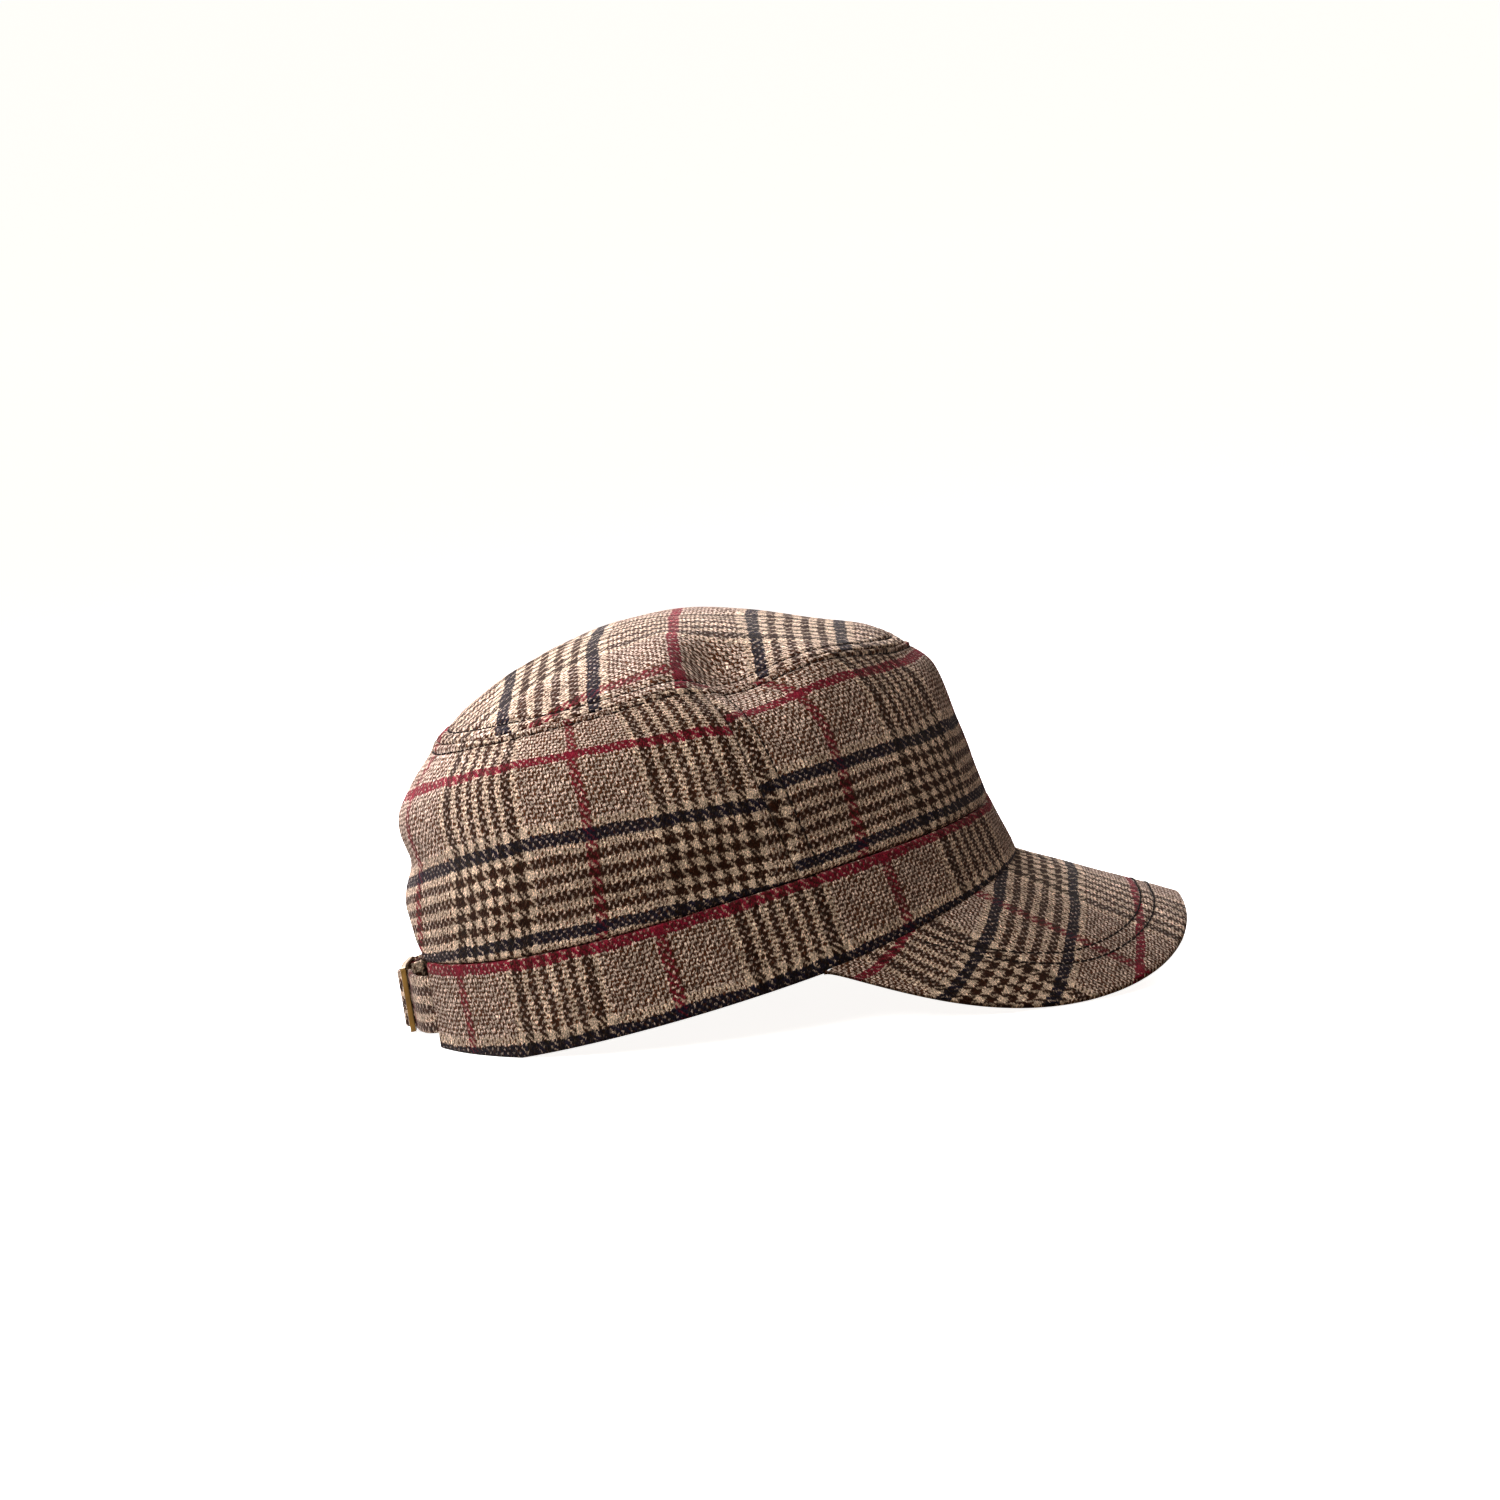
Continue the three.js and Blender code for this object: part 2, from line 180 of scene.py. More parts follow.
def cloth_wall(name, outer, inner, cloth, joined=False, centred=False):
    # A closed wall between two grids of points, with its place in the flat cloth, in mm, as its UV map
    columns, rows = outer.shape[:2]
    o = np.arange(columns * rows).reshape(columns, rows)
    if centred:
        o[:, -1] = o[0, -1]
    i = o + columns * rows
    if joined:
        o = np.vstack([o, o[:1]])
        i = np.vstack([i, i[:1]])
    sides = [
        (o[:-1, :-1], o[1:, :-1], o[1:, 1:], o[:-1, 1:]),
        (i[:-1, :-1], i[:-1, 1:], i[1:, 1:], i[1:, :-1]),
        (o[:-1, 0], i[:-1, 0], i[1:, 0], o[1:, 0]),
    ]
    if not centred:
        sides.append((o[:-1, -1], o[1:, -1], i[1:, -1], i[:-1, -1]))
    if not joined:
        sides.append((o[0, :-1], o[0, 1:], i[0, 1:], i[0, :-1]))
        sides.append((o[-1, :-1], i[-1, :-1], i[-1, 1:], o[-1, 1:]))
    quads = np.concatenate([np.stack(s, -1).reshape(-1, 4) for s in sides])
    used, quads = np.unique(quads, return_inverse=True)
    faces = [tuple(dict.fromkeys(q)) for q in quads.reshape(-1, 4).tolist()]
    points = np.concatenate([outer.reshape(-1, 3), inner.reshape(-1, 3)])[used]
    lie = np.concatenate([cloth.reshape(-1, 2), cloth.reshape(-1, 2)])[used]
    mesh = bpy.data.meshes.new(name)
    mesh.from_pydata(placed(points).tolist(), [], [f for f in faces if len(f) > 2])
    corner = np.empty(len(mesh.loops), dtype=np.int32)
    mesh.loops.foreach_get("vertex_index", corner)
    layer = mesh.uv_layers.new(name="cloth")
    layer.data.foreach_set("uv", lie[corner].astype(np.float32).ravel())
    mesh.shade_smooth()
    piece = bpy.data.objects.new(name, mesh)
    bpy.context.scene.collection.objects.link(piece)
    return piece


def linear(code):
    parts = [int(code[k : k + 2], 16) / 255 for k in (1, 3, 5)]
    return [v / 12.92 if v <= 0.04045 else ((v + 0.055) / 1.055) ** 2.4 for v in parts] + [1.0]


def add_node(material, kind, inputs=None, **settings):
    # Adds a node, sets its properties, and sets or links its inputs by name or number
    node = material.node_tree.nodes.new(kind)
    for key, value in settings.items():
        setattr(node, key, value)
    for key, value in (inputs or {}).items():
        if isinstance(value, bpy.types.NodeSocket):
            material.node_tree.links.new(value, node.inputs[key])
        else:
            node.inputs[key].default_value = value
    return node


# Wool glen plaid, woven as a 2/2 twill in the piece and brushed a little: groups of four light and four
# dark threads cross to a houndstooth, one-and-one zones look like pepper and salt, with a navy and a dull
# red line. Each thread lies over two and under two, so the floats stand out as slanting rows of flecks,
# with painted shade in the gaps between them and a painted highlight on their crowns. The surface is matt,
# with a bloom of loose fibre. Spacing 0.65 by 0.72 mm.
OAT, PALE, TAUPE, UMBER, BROWN = "#E8CBAF", "#EACFBB", "#4E2A17", "#33190E", "#2C160C"
NAVY, WINE, CLARET, LINT = "#1C1826", "#861A30", "#7C1B2A", "#AD9078"
SPACING = (0.645, 0.723, 1.0)
# Threads of one repeat: how many, and their colour, where None stands for light and dark in turn
CHECKS = [(4, OAT), (4, UMBER)] * 4
WARP = [(6, CLARET), (31, None), (4, OAT), (6, BROWN), *CHECKS, (4, OAT), (6, BROWN), (4, OAT), (31, None)]
WEFT = [(5, WINE), (28, None), (4, OAT), (6, NAVY), *CHECKS, (4, OAT), (6, NAVY), (4, OAT), (27, None)]
REPEAT = (sum(many for many, colour in WARP), sum(many for many, colour in WEFT), 1)

wool = bpy.data.materials.new("wool_glen_plaid_twill_woven")
wool.use_nodes = True
wool.node_tree.nodes.clear()
lie = add_node(wool, "ShaderNodeUVMap", uv_map="cloth").outputs["UV"]
# Loose fibres, which the brush has laid up and to the right, about 0.3 mm wide and 2 mm long
combed = add_node(
    wool,
    "ShaderNodeMapping",
    {"Vector": lie, "Rotation": (0.0, 0.0, math.radians(66)), "Scale": (1.9, 0.3, 1.0)},
    vector_type="TEXTURE",
).outputs[0]
# Noises that move the threads aside: where they are read, their scale, and how far they move them in mm
WANDER = ((lie, 0.09, 2.4), (lie, 1.0, 1.4), (combed, 0.8, 2.0))
moved = lie
for spot, scale, far in WANDER:
    aside = add_node(wool, "ShaderNodeTexNoise", {"Vector": spot, "Scale": scale, "Detail": 2.0})
    moved = add_node(
        wool,
        "ShaderNodeVectorMath",
        {0: aside.outputs["Color"], 1: (far, far, 0.0), 2: moved},
        operation="MULTIPLY_ADD",
    ).outputs[0]
home = sum(far for spot, scale, far in WANDER) / 2
count = add_node(
    wool,
    "ShaderNodeVectorMath",
    {
        0: moved,
        1: [1 / d for d in SPACING],
        2: (WARP[0][0] / 2 - home / SPACING[0], WEFT[0][0] / 2 - home / SPACING[1], 0.0),
    },
    operation="MULTIPLY_ADD",
).outputs[0]
number = add_node(wool, "ShaderNodeVectorMath", {0: count}, operation="FLOOR").outputs[0]
within = add_node(wool, "ShaderNodeVectorMath", {0: count}, operation="FRACTION").outputs[0]
turns = add_node(
    wool,
    "ShaderNodeVectorMath",
    {0: number, 1: [1 / n for n in REPEAT], 2: [0.5 / n for n in REPEAT]},
    operation="MULTIPLY_ADD",
).outputs[0]
turn = add_node(wool, "ShaderNodeVectorMath", {0: turns}, operation="FRACTION").outputs[0]
half = (0.5, 0.5, 0.5)
halves = add_node(wool, "ShaderNodeVectorMath", {0: number, 1: half}, operation="MULTIPLY").outputs[0]
odd = add_node(wool, "ShaderNodeVectorMath", {0: halves}, operation="FRACTION").outputs[0]
number, within, turn, odd = (
    add_node(wool, "ShaderNodeSeparateXYZ", {"Vector": v}).outputs for v in (number, within, turn, odd)
)
yarns = []
for axis, sett in (("X", WARP), ("Y", WEFT)):
    ramp = add_node(wool, "ShaderNodeValToRGB", {"Fac": turn[axis]})
    ramp.color_ramp.interpolation = "CONSTANT"
    stops = ramp.color_ramp.elements
    start = 0
    for k, (many, colour) in enumerate(sett):
        at = start / sum(n for n, c in sett)
        stop = stops[k] if k < len(stops) else stops.new(at)
        stop.position = at
        # Alpha 0 marks the one-and-one zones, 0.5 a plain stripe, and 1 a line whose threads float higher
        stop.color = linear(colour or OAT)[:3] + [1.0 if colour in (NAVY, WINE) else 0.5 if colour else 0.0]
        start += many
    is_light = add_node(wool, "ShaderNodeMath", {0: odd[axis], 1: 0.25}, operation="GREATER_THAN").outputs[0]
    is_plain = add_node(wool, "ShaderNodeMath", {0: ramp.outputs["Alpha"], 1: 0.25}, operation="GREATER_THAN")
    floats = add_node(wool, "ShaderNodeMath", {0: ramp.outputs["Alpha"], 1: 0.75}, operation="GREATER_THAN")
    fine = add_node(
        wool,
        "ShaderNodeMix",
        {"Factor": is_light, 6: linear(TAUPE), 7: linear(PALE)},
        data_type="RGBA",
    ).outputs[2]
    colour = add_node(
        wool,
        "ShaderNodeMix",
        {"Factor": is_plain.outputs[0], 6: fine, 7: ramp.outputs["Color"]},
        data_type="RGBA",
    ).outputs[2]
    yarns.append((colour, floats.outputs[0]))
(warp_colour, warp_floats), (weft_colour, weft_floats) = yarns
# Which thread is on top, and where along its float and across it a point lies
slant = add_node(wool, "ShaderNodeMath", {0: number["X"], 1: number["Y"]}, operation="ADD").outputs[0]
step = add_node(wool, "ShaderNodeMath", {0: slant, 1: 4.0}, operation="FLOORED_MODULO").outputs[0]
more = add_node(wool, "ShaderNodeMath", {0: warp_floats, 1: 2.0}, operation="ADD").outputs[0]
limit = add_node(wool, "ShaderNodeMath", {0: more, 1: weft_floats}, operation="SUBTRACT").outputs[0]
warp_up = add_node(wool, "ShaderNodeMath", {0: step, 1: limit}, operation="LESS_THAN").outputs[0]
top_colour = add_node(
    wool,
    "ShaderNodeMix",
    {"Factor": warp_up, 6: weft_colour, 7: warp_colour},
    data_type="RGBA",
).outputs[2]
under_colour = add_node(
    wool,
    "ShaderNodeMix",
    {"Factor": warp_up, 6: warp_colour, 7: weft_colour},
    data_type="RGBA",
).outputs[2]
top_number = add_node(wool, "ShaderNodeMix", {"Factor": warp_up, 2: number["Y"], 3: number["X"]}).outputs[0]
along = add_node(wool, "ShaderNodeMix", {"Factor": warp_up, 2: within["X"], 3: within["Y"]}).outputs[0]
across = add_node(wool, "ShaderNodeMix", {"Factor": warp_up, 2: within["Y"], 3: within["X"]}).outputs[0]
# The float's swell, high on its crown and low at its ends and edges, raises the bump and also paints shade
# and highlight into the colour below
run = add_node(wool, "ShaderNodeMath", {0: step, 1: along}, operation="ADD").outputs[0]
run = add_node(wool, "ShaderNodeMath", {0: run, 1: 2.0, 2: 0.0}, operation="WRAP").outputs[0]
run = add_node(wool, "ShaderNodeMath", {0: run, 1: math.pi / 2}, operation="MULTIPLY").outputs[0]
run = add_node(wool, "ShaderNodeMath", {0: run}, operation="SINE").outputs[0]
arch = add_node(wool, "ShaderNodeMath", {0: across, 1: math.pi}, operation="MULTIPLY").outputs[0]
arch = add_node(wool, "ShaderNodeMath", {0: arch}, operation="SINE").outputs[0]
swell = add_node(wool, "ShaderNodeMath", {0: run, 1: arch}, operation="MULTIPLY").outputs[0]
swell = add_node(wool, "ShaderNodeMath", {0: swell, 1: 0.75}, operation="POWER").outputs[0]
float_no = add_node(wool, "ShaderNodeMath", {0: slant, 1: 0.5}, operation="MULTIPLY").outputs[0]
float_no = add_node(wool, "ShaderNodeMath", {0: float_no}, operation="FLOOR").outputs[0]
float_id = add_node(wool, "ShaderNodeCombineXYZ", {"X": top_number, "Y": float_no}).outputs[0]
chance = add_node(wool, "ShaderNodeTexWhiteNoise", {"Vector": float_id}, noise_dimensions="2D")
patch = add_node(wool, "ShaderNodeTexNoise", {"Vector": lie, "Scale": 0.07, "Detail": 2.0}).outputs["Fac"]
stray = add_node(wool, "ShaderNodeTexNoise", {"Vector": lie, "Scale": 0.9, "Detail": 3.0}).outputs["Fac"]
matted_and_shaded = add_node(
    wool,
    "ShaderNodeMapRange",
    {"Value": stray, "From Min": 0.3, "From Max": 0.7, "To Min": 0.1, "To Max": 0.85},
)
hairs = add_node(wool, "ShaderNodeTexNoise", {"Vector": combed, "Scale": 1.0, "Detail": 1.0}).outputs["Fac"]
fibre = add_node(wool, "ShaderNodeTexNoise", {"Vector": combed, "Scale": 0.62, "Detail": 3.0}).outputs["Fac"]
lint = add_node(
    wool,
    "ShaderNodeMapRange",
    {"Value": hairs, "From Min": 0.61, "From Max": 0.74, "To Max": 0.4},
)
# Fibres of the thread beneath mix in, and the darken blend adds painted shade where loose fibres lie over
# light floats
brushed_and_shaded = add_node(
    wool,
    "ShaderNodeMix",
    {"Factor": matted_and_shaded.outputs[0], 6: top_colour, 7: under_colour},
    data_type="RGBA",
    blend_type="DARKEN",
).outputs[2]
furry = add_node(
    wool,
    "ShaderNodeMix",
    {"Factor": lint.outputs[0], 6: brushed_and_shaded, 7: linear(LINT)},
    data_type="RGBA",
).outputs[2]
# Multipliers of the colour: the first is painted shade in the gaps at the ends and edges of the floats and a
# painted highlight on their crowns; the others are random tones of floats, fibres and patches
painted_shade_and_tones = (
    {"Value": swell, "To Min": 0.2, "To Max": 1.3},
    {"Value": chance.outputs["Value"], "To Min": 0.72, "To Max": 1.28},
    {"Value": fibre, "From Min": 0.3, "From Max": 0.7, "To Min": 0.45, "To Max": 1.55},
    {"Value": patch, "From Min": 0.25, "From Max": 0.75, "To Min": 0.86, "To Max": 1.14},
)
cloth_colour = furry
for shade in painted_shade_and_tones:
    tone = add_node(wool, "ShaderNodeMapRange", shade).outputs[0]
    cloth_colour = add_node(
        wool,
        "ShaderNodeMix",
        {"Factor": 1.0, 6: cloth_colour, 7: tone},
        data_type="RGBA",
        blend_type="MULTIPLY",
    ).outputs[2]
relief = add_node(wool, "ShaderNodeMath", {0: fibre, 1: 0.9, 2: swell}, operation="MULTIPLY_ADD").outputs[0]
bump = add_node(wool, "ShaderNodeBump", {"Height": relief, "Strength": 0.6, "Distance": 0.0003})
wool_surface = add_node(
    wool,
    "ShaderNodeBsdfPrincipled",
    {
        "Base Color": cloth_colour,
        "Roughness": 0.92,
        "Specular IOR Level": 0.02,
        "Sheen Weight": 0.1,
        "Sheen Roughness": 0.3,
        "Sheen Tint": linear("#F2E9E0"),
        "Normal": bump.outputs["Normal"],
    },
)
add_node(wool, "ShaderNodeOutputMaterial", {"Surface": wool_surface.outputs["BSDF"]})


def dress(piece, material):
    piece.data.materials.clear()
    piece.data.materials.append(material)
    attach(piece, "root")


def by_powers(weights, *terms):
    return sum(w * t for w, t in zip(weights, terms))


def seam_angle(share):
    return SIDE_SEAM_LOW + (SIDE_SEAM_HIGH - SIDE_SEAM_LOW) * share


def rear_edge(angle):
    from_back = np.clip((180 - np.abs(angle)) / OPENING_HALF, 0, 1)
    return OPENING_RISE * np.cos(from_back * np.pi / 2)


def puckered(angle, share, from_top, every):
    # Small puckers that the stitches draw under the top seam, one each so many mm
    waves = np.sin(angle * MM_PER_DEGREE * 2 * np.pi / every + share * 3)
    return PUCKER * waves * np.exp(-((from_top / 7) ** 2))


def rear_height(angle, share):
    # Relief of a rear panel by its four edges
    from_top = (1 - share) * CROWN_HEIGHT
    from_low = (share - rear_edge(angle)) * CROWN_HEIGHT
    from_side = (np.abs(angle) - seam_angle(share)) * MM_PER_DEGREE
    from_back = (180 - np.abs(angle)) * MM_PER_DEGREE_BACK
    rolled = turned_edge(from_low, LOW_ROLL) + turned_edge(from_side, SIDE_ROLL)
    rolled += turned_edge(from_back, BACK_ROLL)
    return stitched_edge(from_top, SEAM_STITCH) + rolled + puckered(angle, share, from_top, 9.3)


def rear_lie(angle, share):
    # Where the cloth of the panel lies in the flat weave, read off its lines in the photograph
    x = (np.abs(angle) - 130) / 50
    terms = (1, x, share, x * x, x * share, share**2, x**3, x * x * share)
    across = by_powers((-34.09, -77.55, -19.48, 4.55, 8.76, 20.58, -0.82, 9.75), *terms)
    up = by_powers((-61.85, 1.82, 101.82, 7.21, -7.18, -25.92, 0.57, -1.67), *terms)
    return np.stack([across, up], -1)


def rear_panel(name, side):
    wide = (180 - SIDE_SEAM_LOW) * MM_PER_DEGREE
    u = grades(wide)[:, None] / wide
    v = grades(CROWN_HEIGHT)[None, :] / CROWN_HEIGHT
    u, v = np.broadcast_arrays(u if side > 0 else 1 - u[::-1], v)
    along = u if side > 0 else 1 - u
    guess = seam_angle(v) + (180 - seam_angle(v)) * along

    def grid(margin, gap):
        share = rear_edge(guess) + margin + (1 - 2 * margin - rear_edge(guess)) * v
        return seam_angle(share) + gap + (180 - seam_angle(share) - 2 * gap) * along, share

    angle, share = grid(-INSIDE_LAP / CROWN_HEIGHT, -INSIDE_LAP / MM_PER_DEGREE)
    base = crown_point(side * angle, share)
    inner = base + inward(base) * WALL
    angle, share = grid(EDGE_SHARE, SEAM_GAP / 2 / MM_PER_DEGREE)
    base = crown_point(side * angle, share)
    outer = raised(base, rear_height(angle, share) + uneven(base))
    lie_at = rear_lie(angle, share)
    if side > 0:
        lie_at = lie_at * (-1, 1) + (23, 6)
    return cloth_wall(name, outer, inner, lie_at)


rear_right = rear_panel("rear_panel_right", -1)
dress(rear_right, wool)
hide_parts("crown_rear_right")

# Left rear panel of the crown
# The mirror piece, cut from another place in the cloth, with a soft crease low on its side.
rear_left = rear_panel("rear_panel_left", 1)
dress(rear_left, wool)
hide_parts("crown_rear_left")

# Front panel of the crown
# One wide piece of the same wool round the brow, from side seam to side seam. Its seam edges are turned
# under its own side and held by a row of stitches 7 mm in, so it stands a little proud there.
FRONT_STITCH, FRONT_PUFF = 7.0, 0.9


def front_height(angle, share):
    from_top = (1 - share) * CROWN_HEIGHT
    from_low = share * CROWN_HEIGHT
    from_side = (seam_angle(share) - np.abs(angle)) * MM_PER_DEGREE
    rolled = turned_edge(from_low, LOW_ROLL) + stitched_edge(from_side, FRONT_STITCH, FRONT_PUFF, SIDE_ROLL)
    return stitched_edge(from_top, SEAM_STITCH) + rolled + puckered(angle, share, from_top, 8.7)


def front_lie(angle, share):
    x = angle / 60
    across = by_powers((90.41, 95.92, 19.45, 0.46, -28.88), 1, x, x * share, x**3, x * share**2)
    terms = (1, share, share**2, x * x, x * x * share, x**4)
    up = by_powers((-63.27, 108.57, -40.15, 0.64, 6.71, 0.41), *terms)
    return np.stack([across, up], -1)


wide = 2 * SIDE_SEAM_HIGH * MM_PER_DEGREE
side_rows = (0, 0.07, 0.2, 0.4, 0.65, 0.95, 1.6, 2.5, 3.5, 4.5, 5.5, 6.2, 6.7, 7.2, 7.8, 8.6, 9.6)
u = 2 * grades(wide, side_rows)[:, None] / wide - 1
v = grades(CROWN_HEIGHT)[None, :] / CROWN_HEIGHT
u, share = np.broadcast_arrays(u, v + (1 - 2 * v) * -INSIDE_LAP / CROWN_HEIGHT)
base = crown_point(u * (seam_angle(share) + INSIDE_LAP / MM_PER_DEGREE), share)
inner = base + inward(base) * WALL
share = v + (1 - 2 * v) * EDGE_SHARE
angle = u * (seam_angle(share) - SEAM_GAP / 2 / MM_PER_DEGREE)
share = np.broadcast_to(share, angle.shape)
base = crown_point(angle, share)
outer = raised(base, front_height(angle, share) + uneven(base))
front_panel = cloth_wall("front_panel", outer, inner, front_lie(angle, share))
dress(front_panel, wool)
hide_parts("crown_front")

# Top panel of the crown
# An oval of the same wool, pulled to a low dome by the panels round it. A row of stitches runs 4.3 mm
# inside its seam.
DOME_X, DOME_Z, DOME_POWER, DOME_LEAN = 4.0, 110.5, 2.0, 0.45
TOP_STITCH, TOP_PUCKER = 4.3, 0.18
TOP_COLUMNS, TOP_RINGS, TOP_RADIUS = 260, 46, 75


def top_point(angle, share):
    seam = section_point(CROWN_SECTIONS[-1], angle)
    radius = 1 - share
    power = DOME_POWER - DOME_LEAN * np.cos(np.radians(angle))
    x = DOME_X + (seam[..., 0] - DOME_X) * radius
    z = DOME_Z + (seam[..., 2] - DOME_Z) * radius**power
    return folded(np.stack([x, seam[..., 1] * radius, z], -1))


def top_reach(angle):
    seam = section_point(CROWN_SECTIONS[-1], angle)
    return np.hypot(seam[..., 0] - DOME_X, seam[..., 1])


def top_height(angle, share):
    from_seam = share * top_reach(angle)
    pucker = TOP_PUCKER * np.sin(angle * MM_PER_DEGREE * 2 * np.pi / 9.9) * np.exp(-((from_seam / 8) ** 2))
    return stitched_edge(from_seam, TOP_STITCH) + pucker


def top_lie(point):
    x = point[..., 0] / 60
    y = point[..., 1] / 60
    up = by_powers((20.09, -63.26, 3.98, -4.16, -3.03), 1, x, y, x * x, x * y)
    return np.stack([point[..., 1] + 56, up], -1)


angle = np.linspace(-180, 180, TOP_COLUMNS, endpoint=False)[:, None]
fine_rows = np.array((0, 0.07, 0.2, 0.4, 0.65, 0.95, 1.5, 2.2, 3, 3.6, 4.1, 4.6, 5.2, 6, 7)) / TOP_RADIUS
share = np.concatenate([fine_rows[:-1], np.linspace(fine_rows[-1], 1, TOP_RINGS)])[None, :]
angle, share = np.broadcast_arrays(angle, share)
base = top_point(angle, share - (1 - share) * INSIDE_LAP / top_reach(angle))
inner = base + inward(base) * WALL
share = share + (1 - share) * EDGE_SHARE
base = top_point(angle, share)
outer = raised(base, top_height(angle, share) + uneven(base) * np.minimum(1, share * 8))
top_panel = cloth_wall("top_panel", outer, inner, top_lie(base), joined=True, centred=True)
dress(top_panel, wool)
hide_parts("crown_top")

# Band round the head
# A straight strip of the wool, folded over a stiffener and sewn under the crown, open at the back. Its
# lower edge is a fold, cut by the peak in front.
REST_X = -67.0
BAND_END = 180 - OPENING_HALF
PEAK_SLOPE = math.radians(34.4)
PEAK_BEND = 84.0
PEAK_CORNER_X, PEAK_TIP_X, PEAK_HALF, PEAK_SQUARE = 32.0, 147.5, 78.0, 2.9
PEAK_ROOT_Z, PEAK_LIFT, PEAK_THICK = 1.3, 2.0, 2.8


def table_z(x):
    return RIM[3] - (x - REST_X) * math.tan(TIP)


def peak_z(x, y):
    crest = PEAK_ROOT_Z - (x - RIM[0]) * math.tan(PEAK_SLOPE)
    return crest - (PEAK_BEND - np.sqrt(PEAK_BEND**2 - y * y))


def band_edge_z(x, y):
    on_peak = peak_z(x, np.clip(y, -83, 83)) + SEAM_GAP + 0.15
    return np.where(x > PEAK_CORNER_X, on_peak, np.maximum(RIM[3], table_z(x)))


BAND_LENGTH, BAND_HEIGHT, BAND_ROLL = 506.0, 30.0, 1.0
BAND_TOP_SHARE = 0.9955
u = grades(BAND_LENGTH)[:, None] / BAND_LENGTH
v = grades(BAND_HEIGHT, (0, 0.1, 0.25, 0.5, 0.8, 1.2, 1.7, 2.4, 3.2), 1.3)[None, :] / BAND_HEIGHT
angle, v = np.broadcast_arrays(BAND_END * (2 * u - 1), v)
rim = section_point(RIM, angle)
band_top = section_point(BAND_TOP, angle)
low_z = band_edge_z(rim[..., 0], rim[..., 1])


def band_point(share):
    point = rim + (band_top - rim) * share[..., None]
    point[..., 2] = low_z + (band_top[..., 2] - low_z) * share
    return point


base = band_point(v * (1 + INSIDE_LAP / BAND_HEIGHT))
inner = base + inward(base) * WALL
inner[:, 0, 2] = band_edge_z(inner[:, 0, 0], inner[:, 0, 1])
base = band_point(v * BAND_TOP_SHARE)
rolled = turned_edge(v * BAND_HEIGHT, BAND_ROLL) + turned_edge((1 - v) * BAND_HEIGHT, BAND_ROLL)
rolled += turned_edge((BAND_END - np.abs(angle)) * 1.5, BAND_ROLL)
outer = raised(base, rolled + 0.6 * uneven(base) * np.minimum(1, v * 6))
outer[:, 0, 2] = band_edge_z(outer[:, 0, 0], outer[:, 0, 1])
step = np.linalg.norm(np.diff(rim + (band_top - rim) * 0.5, axis=0), axis=-1)[:, :1]
length = np.concatenate([[[0.0]], np.cumsum(step, axis=0)])
height = (base[..., 2] - rim[..., 2]) / (band_top[..., 2] - rim[..., 2])
lie_at = np.stack(np.broadcast_arrays(-22.1 + 1.045 * length, -28.1 + 29.9 * height), -1)
band = cloth_wall("head_band", outer, inner, lie_at)
dress(band, wool)
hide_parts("band")

# Peak
# A stiff board covered on both sides with the wool, bent to the brow and sewn to the band's lower edge.
# Its free edge is a smooth fold. Two rows of stitches follow it 11 and 16 mm inside and draw away from it
# at the sides.
PEAK_ROWS = (11.4, 16.0)
PEAK_ROLL = 1.3
PEAK_COLUMNS, PEAK_LINES = 190, 96
DRIFT_FROM, DRIFT_STEEP = 0.47, 120


def peak_point(across, v):
    turned = np.degrees(np.arccos(PEAK_CORNER_X / RIM[0]))
    root = section_point(RIM, across * turned)
    root = root + inward(root) * (WALL * (1 - across**6))[..., None]
    turn = np.radians(90 * across)
    round_off = 2 / PEAK_SQUARE
    edge_x = PEAK_CORNER_X + (PEAK_TIP_X - PEAK_CORNER_X) * np.abs(np.cos(turn)) ** round_off
    edge_y = PEAK_HALF * np.sign(turn) * np.abs(np.sin(turn)) ** round_off
    x = edge_x + (root[..., 0] - edge_x) * v
    y = edge_y + (root[..., 1] - edge_y) * v
    return np.stack([x, y, peak_z(x, y) + PEAK_LIFT * (1 - v)], -1)


def peak_normal(point):
    lean = point[..., 1] / np.sqrt(PEAK_BEND**2 - point[..., 1] ** 2)
    normal = np.stack([0 * lean + math.tan(PEAK_SLOPE), lean, 0 * lean + 1], -1)
    return normal / np.linalg.norm(normal, axis=-1, keepdims=True)


def peak_flat(point):
    # The surface laid flat: along its slope and round its bend
    forward = point[..., 0] / math.cos(PEAK_SLOPE)
    return np.stack([forward, np.arcsin(point[..., 1] / PEAK_BEND) * PEAK_BEND], -1)


def inside_edge(point):
    along = np.sin(np.radians(np.linspace(-90, 90, 300)))
    edge = peak_flat(peak_point(along, 0 * along))
    away = peak_flat(point)[..., None, :] - edge
    return np.sqrt((away**2).sum(-1).min(-1))


def row_drift(across):
    # How far the rows of stitches draw away from the edge towards the sides
    return DRIFT_STEEP * np.maximum(0, np.abs(across) - DRIFT_FROM) ** 2


def peak_height(point, across, v, from_edge):
    soft = 0.35 * uneven(point * 1.4) * np.clip(from_edge / 6, 0, 1) * np.clip((1 - v) * 6, 0, 1)
    inside = inside_edge(point) - row_drift(across)
    dips = sum(np.exp(-(((inside - row) / 0.7) ** 2)) for row in PEAK_ROWS)
    return turned_edge(from_edge, PEAK_ROLL) + soft - 0.35 * dips


def peak_depth(across):
    edge = peak_point(across, 0 * across)
    return np.linalg.norm(peak_point(across, 0 * across + 1) - edge, axis=-1)


